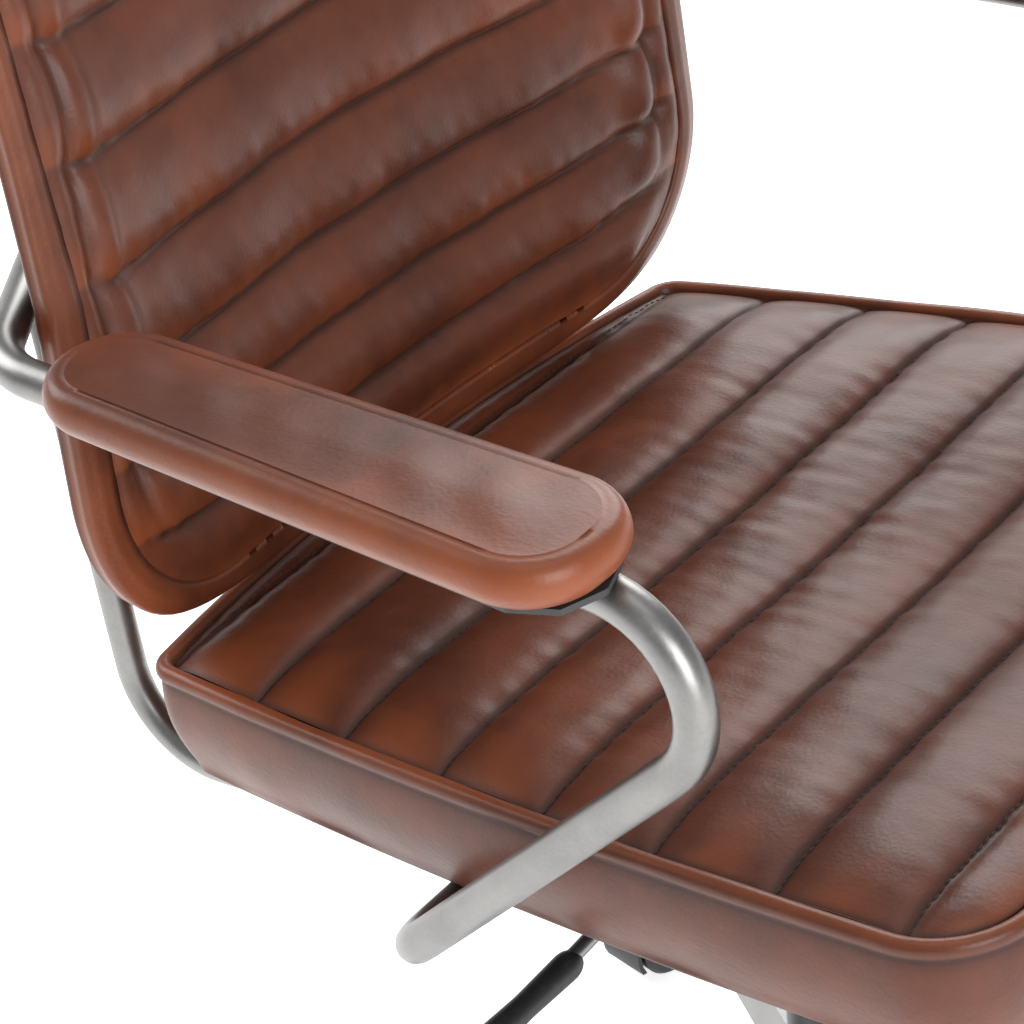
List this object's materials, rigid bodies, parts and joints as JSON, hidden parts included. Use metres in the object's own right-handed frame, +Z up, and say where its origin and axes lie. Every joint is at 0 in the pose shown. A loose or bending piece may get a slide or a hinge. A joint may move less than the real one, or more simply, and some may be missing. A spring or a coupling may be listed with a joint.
{
  "type": "swivel office chair",
  "caption": "Swivel office chair with a channelled leather seat and back, padded tube arms, tilt, gas lift and a star base on casters.",
  "frame": {"origin": "centre of the underside of the chair's box, on the floor, seat at its lowest", "axes": "+Z up, -Y the way the sitter faces, +X to the sitter's left"},
  "size_m": [0.6786, 0.6446, 0.9096],
  "materials": {
    "cognac_leather": "waxed full-grain leather, semi-gloss, darker in the channels, worn lighter on the ridges",
    "gunmetal_steel": "satin gunmetal",
    "black_steel": "satin black powder coat",
    "zinc_steel": "zinc plated",
    "chrome_steel": "polished",
    "black_nylon": "fine satin grain",
    "plywood": "raw birch plywood",
    "black_cloth": "non-woven dust cloth"
  },
  "bodies": {
    "base": {"star_base": "gunmetal_steel", "column_outer_tube": "black_steel", "column_guide_bush": "black_nylon", "caster_stem_1": "zinc_steel", "caster_stem_2": "zinc_steel", "caster_stem_3": "zinc_steel", "caster_stem_4": "zinc_steel", "caster_stem_5": "zinc_steel"},
    "swivel": {"thrust_bearing": "zinc_steel", "piston_rod": "chrome_steel"},
    "lift": {"gas_cylinder": "chrome_steel", "mechanism_housing": "black_steel", "tilt_pivot_pin": "zinc_steel", "tilt_spring": "zinc_steel"},
    "release_pin": {"release_pin": "zinc_steel"},
    "lever": {"height_lever": "gunmetal_steel", "lever_grip": "black_nylon"},
    "knob": {"tension_knob": "black_nylon"},
    "seat": {"seat_plate": "black_steel", "seat_board": "plywood", "seat_cushion": "cognac_leather", "seat_dust_cover": "black_cloth", "seat_bolt_1": "zinc_steel", "seat_bolt_2": "zinc_steel", "seat_bolt_3": "zinc_steel", "seat_bolt_4": "zinc_steel", "arm_tube_right": "gunmetal_steel", "arm_tube_left": "gunmetal_steel", "back_cross_tube": "gunmetal_steel", "back_post_right": "gunmetal_steel", "back_post_left": "gunmetal_steel", "arm_pad_right": "cognac_leather", "arm_pad_left": "cognac_leather", "arm_pad_plate_right": "black_steel", "arm_pad_plate_left": "black_steel", "back_board": "plywood", "back_cushion": "cognac_leather", "back_rear_panel": "cognac_leather", "back_bolt_right": "zinc_steel", "back_bolt_left": "zinc_steel"},
    "caster_1": {"caster_housing_1": "black_nylon"},
    "wheels_1": {"caster_axle_1": "zinc_steel", "caster_wheel_a_1": "black_nylon", "caster_wheel_b_1": "black_nylon"},
    "caster_2": {"caster_housing_2": "black_nylon"},
    "wheels_2": {"caster_axle_2": "zinc_steel", "caster_wheel_a_2": "black_nylon", "caster_wheel_b_2": "black_nylon"},
    "caster_3": {"caster_housing_3": "black_nylon"},
    "wheels_3": {"caster_axle_3": "zinc_steel", "caster_wheel_a_3": "black_nylon", "caster_wheel_b_3": "black_nylon"},
    "caster_4": {"caster_housing_4": "black_nylon"},
    "wheels_4": {"caster_axle_4": "zinc_steel", "caster_wheel_a_4": "black_nylon", "caster_wheel_b_4": "black_nylon"},
    "caster_5": {"caster_housing_5": "black_nylon"},
    "wheels_5": {"caster_axle_5": "zinc_steel", "caster_wheel_a_5": "black_nylon", "caster_wheel_b_5": "black_nylon"}
  },
  "joints": [
    {"name": "seat_swivel", "type": "hinge", "parent": "base", "child": "swivel", "pos_m": [0, -0.01917, 0.1], "axis": [0, 0, 1], "continuous": true},
    {"name": "seat_lift", "type": "slide", "parent": "swivel", "child": "lift", "axis": [0, 0, 1], "range_m": [0, 0.1]},
    {"name": "seat_tilt", "type": "hinge", "parent": "lift", "child": "seat", "pos_m": [0, -0.09041, 0.39371], "axis": [-1, 0, 0], "range_deg": [0, 12], "stiffness_Nm_per_rad": 90, "springref_deg": -20.05, "deforming": ["tilt_spring"]},
    {"name": "lever_lift", "type": "hinge", "parent": "lift", "child": "lever", "pos_m": [-0.045, -0.01917, 0.37123], "axis": [0, 1, 0], "range_deg": [0, 5], "stiffness_Nm_per_rad": 2, "springref_deg": -5.73},
    {"name": "release_press", "type": "slide", "parent": "lift", "child": "release_pin", "axis": [0, 0, 1], "range_m": [-0.0042, 0]},
    {"name": "tension_turn", "type": "hinge", "parent": "lift", "child": "knob", "pos_m": [0, -0.09417, 0.33], "axis": [0, 0, 1], "range_deg": [0, 720]},
    {"name": "caster_swivel_1", "type": "hinge", "parent": "base", "child": "caster_1", "pos_m": [0, -0.30417, 0.06], "axis": [0, 0, 1], "continuous": true},
    {"name": "wheel_spin_1", "type": "hinge", "parent": "caster_1", "child": "wheels_1", "pos_m": [0.01994, -0.29487, 0.02462], "axis": [-0.4226, 0.9063, 0], "continuous": true},
    {"name": "caster_swivel_2", "type": "hinge", "parent": "base", "child": "caster_2", "pos_m": [0.27105, -0.10724, 0.06], "axis": [0, 0, 1], "continuous": true},
    {"name": "wheel_spin_2", "type": "hinge", "parent": "caster_2", "child": "wheels_2", "pos_m": [0.26837, -0.0854, 0.02462], "axis": [-0.9925, -0.1219, 0], "continuous": true},
    {"name": "caster_swivel_3", "type": "hinge", "parent": "base", "child": "caster_3", "pos_m": [0.16752, 0.2114, 0.06], "axis": [0, 0, 1], "continuous": true},
    {"name": "wheel_spin_3", "type": "hinge", "parent": "caster_3", "child": "wheels_3", "pos_m": [0.14592, 0.2156, 0.02462], "axis": [-0.1908, -0.9816, 0], "continuous": true},
    {"name": "caster_swivel_4", "type": "hinge", "parent": "base", "child": "caster_4", "pos_m": [-0.16752, 0.2114, 0.06], "axis": [0, 0, 1], "continuous": true},
    {"name": "wheel_spin_4", "type": "hinge", "parent": "caster_4", "child": "wheels_4", "pos_m": [-0.17818, 0.19216, 0.02462], "axis": [0.8746, -0.4848, 0], "continuous": true},
    {"name": "caster_swivel_5", "type": "hinge", "parent": "base", "child": "caster_5", "pos_m": [-0.27105, -0.10724, 0.06], "axis": [0, 0, 1], "continuous": true},
    {"name": "wheel_spin_5", "type": "hinge", "parent": "caster_5", "child": "wheels_5", "pos_m": [-0.25605, -0.12333, 0.02462], "axis": [0.7314, 0.682, 0], "continuous": true}
  ],
  "couplings": [
    {"joint": "release_press", "follows": "lever_lift", "m_per_rad": -0.0458}
  ]
}
